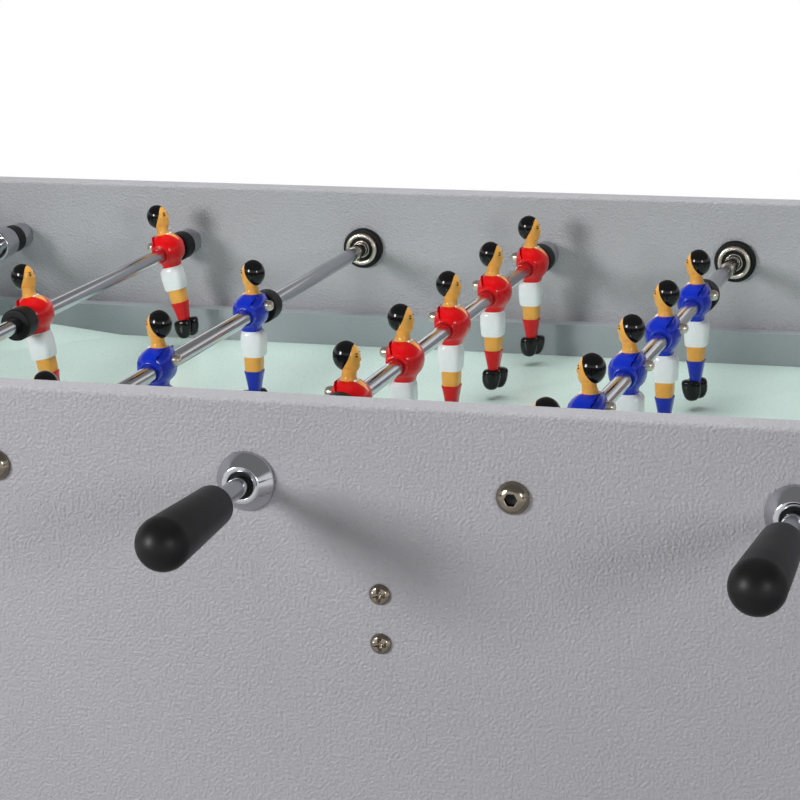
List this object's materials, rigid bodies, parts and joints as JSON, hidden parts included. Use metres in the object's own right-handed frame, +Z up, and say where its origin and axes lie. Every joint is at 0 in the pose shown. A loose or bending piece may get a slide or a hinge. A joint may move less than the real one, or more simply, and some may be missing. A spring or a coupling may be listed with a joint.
{
  "type": "foosball table",
  "caption": "Free-standing foosball table with telescopic rods that slide and spin, moulded red and blue players, bearings, bumpers, goals with ball chutes and levelling feet",
  "frame": {"origin": "on the floor under the middle of the table", "axes": "+X along the table from the red goal to the blue goal, +Y across it towards the blue handles, +Z up"},
  "size_m": [1.49, 0.97, 0.9],
  "materials": {
    "grey_board": "fine-textured grey coat",
    "strip_grey": "smooth grey coat",
    "plain_board": "raw board",
    "mint_sheet": "satin laminate",
    "mint_ramp": "satin",
    "dark_sheet": "matt black",
    "leg_paint": "fine-textured grey coat",
    "black_plastic": "matt",
    "black_rubber": "matt",
    "chrome": "polished",
    "nickel": "nickel plated",
    "steel": "zinc plated",
    "red_figure": "glossy paint",
    "blue_figure": "glossy paint"
  },
  "bodies": {
    "cabinet": {"side_panel_front": "grey_board", "side_panel_back": "grey_board", "goal_wall_left": "grey_board", "goal_wall_right": "grey_board", "end_panel_left": "grey_board", "end_panel_right": "grey_board", "end_decks": "grey_board", "goal_chutes": "dark_sheet", "playing_surface": "mint_sheet", "field_board": "plain_board", "side_strips": "strip_grey", "corner_ramps": "mint_ramp", "legs": "leg_paint", "levelling_feet": "black_plastic", "button_bolts": "nickel", "panel_screws": "steel", "bearing_housings": "nickel", "bearing_rings": "black_rubber", "bearing_nuts": "chrome", "guide_bars": "nickel"},
    "red_keeper_carriage": {"red_keeper_bumpers": "black_rubber"},
    "red_keeper_turning": {"red_keeper_tube": "chrome", "red_keeper_handle": "black_plastic", "red_keeper_players": "red_figure", "red_keeper_clamp_screws": "nickel"},
    "red_defence_carriage": {"red_defence_bumpers": "black_rubber"},
    "red_defence_turning": {"red_defence_tube": "chrome", "red_defence_handle": "black_plastic", "red_defence_players": "red_figure", "red_defence_clamp_screws": "nickel"},
    "blue_attack_carriage": {"blue_attack_bumpers": "black_rubber"},
    "blue_attack_turning": {"blue_attack_tube": "chrome", "blue_attack_handle": "black_plastic", "blue_attack_players": "blue_figure", "blue_attack_clamp_screws": "nickel"},
    "red_midfield_carriage": {"red_midfield_bumpers": "black_rubber"},
    "red_midfield_turning": {"red_midfield_tube": "chrome", "red_midfield_handle": "black_plastic", "red_midfield_players": "red_figure", "red_midfield_clamp_screws": "nickel"},
    "blue_midfield_carriage": {"blue_midfield_bumpers": "black_rubber"},
    "blue_midfield_turning": {"blue_midfield_tube": "chrome", "blue_midfield_handle": "black_plastic", "blue_midfield_players": "blue_figure", "blue_midfield_clamp_screws": "nickel"},
    "red_attack_carriage": {"red_attack_bumpers": "black_rubber"},
    "red_attack_turning": {"red_attack_tube": "chrome", "red_attack_handle": "black_plastic", "red_attack_players": "red_figure", "red_attack_clamp_screws": "nickel"},
    "blue_defence_carriage": {"blue_defence_bumpers": "black_rubber"},
    "blue_defence_turning": {"blue_defence_tube": "chrome", "blue_defence_handle": "black_plastic", "blue_defence_players": "blue_figure", "blue_defence_clamp_screws": "nickel"},
    "blue_keeper_carriage": {"blue_keeper_bumpers": "black_rubber"},
    "blue_keeper_turning": {"blue_keeper_tube": "chrome", "blue_keeper_handle": "black_plastic", "blue_keeper_players": "blue_figure", "blue_keeper_clamp_screws": "nickel"}
  },
  "joints": [
    {"name": "red_keeper_slide", "type": "slide", "parent": "cabinet", "child": "red_keeper_carriage", "axis": [0, -1, 0], "range_m": [0, 0.2513]},
    {"name": "red_keeper_spin", "type": "hinge", "parent": "red_keeper_carriage", "child": "red_keeper_turning", "pos_m": [-0.525, 0, 0.854], "axis": [0, 1, 0], "continuous": true},
    {"name": "red_defence_slide", "type": "slide", "parent": "cabinet", "child": "red_defence_carriage", "axis": [0, -1, 0], "range_m": [0, 0.3168]},
    {"name": "red_defence_spin", "type": "hinge", "parent": "red_defence_carriage", "child": "red_defence_turning", "pos_m": [-0.375, 0, 0.854], "axis": [0, 1, 0], "continuous": true},
    {"name": "blue_attack_slide", "type": "slide", "parent": "cabinet", "child": "blue_attack_carriage", "axis": [0, 1, 0], "range_m": [0, 0.2178]},
    {"name": "blue_attack_spin", "type": "hinge", "parent": "blue_attack_carriage", "child": "blue_attack_turning", "pos_m": [-0.225, 0, 0.854], "axis": [0, 1, 0], "continuous": true},
    {"name": "red_midfield_slide", "type": "slide", "parent": "cabinet", "child": "red_midfield_carriage", "axis": [0, -1, 0], "range_m": [0, 0.1198]},
    {"name": "red_midfield_spin", "type": "hinge", "parent": "red_midfield_carriage", "child": "red_midfield_turning", "pos_m": [-0.075, 0, 0.854], "axis": [0, 1, 0], "continuous": true},
    {"name": "blue_midfield_slide", "type": "slide", "parent": "cabinet", "child": "blue_midfield_carriage", "axis": [0, 1, 0], "range_m": [0, 0.1198]},
    {"name": "blue_midfield_spin", "type": "hinge", "parent": "blue_midfield_carriage", "child": "blue_midfield_turning", "pos_m": [0.075, 0, 0.854], "axis": [0, 1, 0], "continuous": true},
    {"name": "red_attack_slide", "type": "slide", "parent": "cabinet", "child": "red_attack_carriage", "axis": [0, -1, 0], "range_m": [0, 0.2178]},
    {"name": "red_attack_spin", "type": "hinge", "parent": "red_attack_carriage", "child": "red_attack_turning", "pos_m": [0.225, 0, 0.854], "axis": [0, 1, 0], "continuous": true},
    {"name": "blue_defence_slide", "type": "slide", "parent": "cabinet", "child": "blue_defence_carriage", "axis": [0, 1, 0], "range_m": [0, 0.3168]},
    {"name": "blue_defence_spin", "type": "hinge", "parent": "blue_defence_carriage", "child": "blue_defence_turning", "pos_m": [0.375, 0, 0.854], "axis": [0, 1, 0], "continuous": true},
    {"name": "blue_keeper_slide", "type": "slide", "parent": "cabinet", "child": "blue_keeper_carriage", "axis": [0, 1, 0], "range_m": [0, 0.2513]},
    {"name": "blue_keeper_spin", "type": "hinge", "parent": "blue_keeper_carriage", "child": "blue_keeper_turning", "pos_m": [0.525, 0, 0.854], "axis": [0, 1, 0], "continuous": true}
  ]
}
